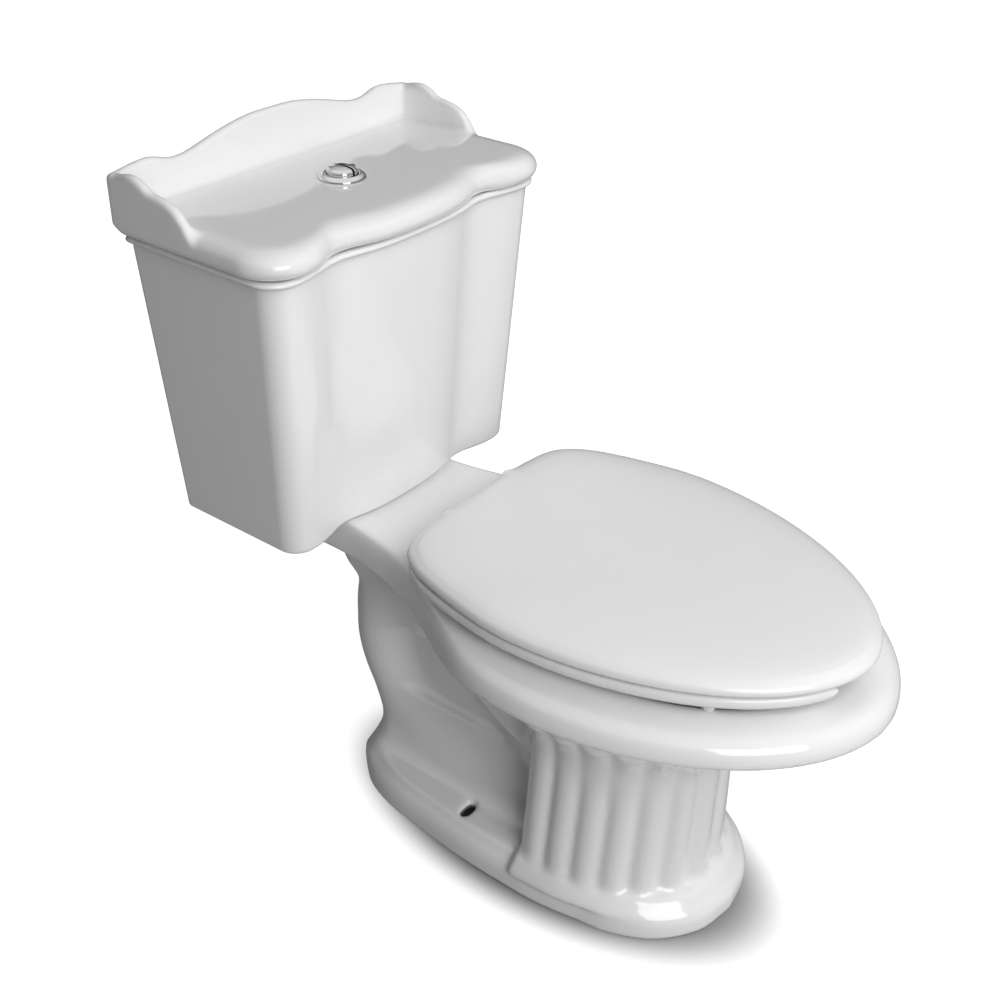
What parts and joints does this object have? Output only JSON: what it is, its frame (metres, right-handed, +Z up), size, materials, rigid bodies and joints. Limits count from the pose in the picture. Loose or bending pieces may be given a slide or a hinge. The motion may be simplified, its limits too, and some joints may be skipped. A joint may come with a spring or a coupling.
{
  "type": "toilet",
  "caption": "Close-coupled toilet: elongated bowl on a reeded pedestal, serpentine-front tank, galleried lid with a dual flush button, and an open-front seat with a cover.",
  "frame": {"origin": "on the floor, under the middle of the toilet's outline", "axes": "+X to the right of someone facing the toilet's front, -Y the way the user faces, +Z up"},
  "size_m": [0.444, 0.8, 0.793],
  "materials": {
    "china": "smooth white glaze",
    "seat_plastic": "glossy white moulding",
    "rubber": "matt black",
    "brass": "plain turned brass",
    "valve_plastic": "matt off-white moulding",
    "grey_plastic": "matt grey moulding",
    "chrome": "polished plating",
    "steel": "plain wire and pin stock"
  },
  "bodies": {
    "body": {"bowl": "china", "tank": "china", "tank_gasket": "rubber", "tank_bolt_left": "brass", "tank_bolt_right": "brass", "tank_washer_left": "rubber", "tank_washer_right": "rubber", "tank_nut_left": "brass", "tank_nut_right": "brass", "hinge_post_left": "seat_plastic", "hinge_post_right": "seat_plastic", "hinge_pin_left": "steel", "hinge_pin_right": "steel", "hinge_nut_left": "seat_plastic", "hinge_nut_right": "seat_plastic", "flush_valve_body": "valve_plastic", "flush_valve_washer": "rubber", "flush_valve_nut": "valve_plastic", "rocker_pin": "steel", "fill_valve_body": "valve_plastic", "fill_valve_washer": "rubber", "fill_valve_nut": "valve_plastic", "fill_valve_cap": "grey_plastic", "refill_hose": "rubber"},
    "lid": {"tank_lid": "china", "button_bezel": "chrome", "button_nut": "valve_plastic", "full_button_spring": "steel", "half_button_spring": "steel"},
    "full_button": {"full_flush_button": "chrome"},
    "half_button": {"half_flush_button": "chrome"},
    "rocker": {"flush_rocker": "valve_plastic"},
    "plug": {"flush_plug": "valve_plastic", "plug_seal": "rubber"},
    "half_float": {"half_flush_float": "valve_plastic"},
    "float": {"fill_valve_float": "grey_plastic"},
    "lever": {"float_arm": "grey_plastic"},
    "seat": {"seat": "seat_plastic", "seat_bumper_front_left": "rubber", "seat_bumper_front_right": "rubber", "seat_bumper_rear_left": "rubber", "seat_bumper_rear_right": "rubber"},
    "cover": {"seat_cover": "seat_plastic", "cover_bumper_left": "rubber", "cover_bumper_right": "rubber"}
  },
  "joints": [
    {"name": "tank_lid_lift", "type": "slide", "parent": "body", "child": "lid", "axis": [0, 0, 1], "range_m": [0, 0.15]},
    {"name": "full_button_press", "type": "slide", "parent": "lid", "child": "full_button", "axis": [0, 0, -1], "range_m": [0, 0.006], "stiffness_N_per_m": 300, "springref_m": -0.006, "deforming": ["full_button_spring"]},
    {"name": "half_button_press", "type": "slide", "parent": "lid", "child": "half_button", "axis": [0, 0, -1], "range_m": [0, 0.006], "stiffness_N_per_m": 300, "springref_m": -0.004, "deforming": ["half_button_spring"]},
    {"name": "rocker_turn", "type": "hinge", "parent": "body", "child": "rocker", "pos_m": [0, 0.296, 0.6039], "axis": [1, 0, 0], "range_deg": [0, 37]},
    {"name": "plug_lift", "type": "slide", "parent": "body", "child": "plug", "axis": [0, 0, 1], "range_m": [0, 0.016]},
    {"name": "half_float_push", "type": "slide", "parent": "body", "child": "half_float", "axis": [0, 0, -1], "range_m": [0, 0.0062]},
    {"name": "fill_float_rise", "type": "slide", "parent": "body", "child": "float", "axis": [0, 0, 1], "range_m": [0, 0.015]},
    {"name": "float_arm_turn", "type": "hinge", "parent": "body", "child": "lever", "pos_m": [-0.136, 0.308, 0.6772], "axis": [0, -1, 0], "range_deg": [0, 24]},
    {"name": "seat_hinge", "type": "hinge", "parent": "body", "child": "seat", "pos_m": [0, 0.1, 0.3965], "axis": [1, 0, 0], "range_deg": [-95, 0]},
    {"name": "cover_hinge", "type": "hinge", "parent": "seat", "child": "cover", "pos_m": [0, 0.1, 0.3965], "axis": [-1, 0, 0], "range_deg": [0, 95]}
  ],
  "couplings": [
    {"joint": "rocker_turn", "follows": "full_button_press", "rad_per_m": 104},
    {"joint": "plug_lift", "follows": "full_button_press", "ratio": 2.6},
    {"joint": "half_float_push", "follows": "half_button_press", "ratio": 1},
    {"joint": "float_arm_turn", "follows": "fill_float_rise", "rad_per_m": 27}
  ]
}
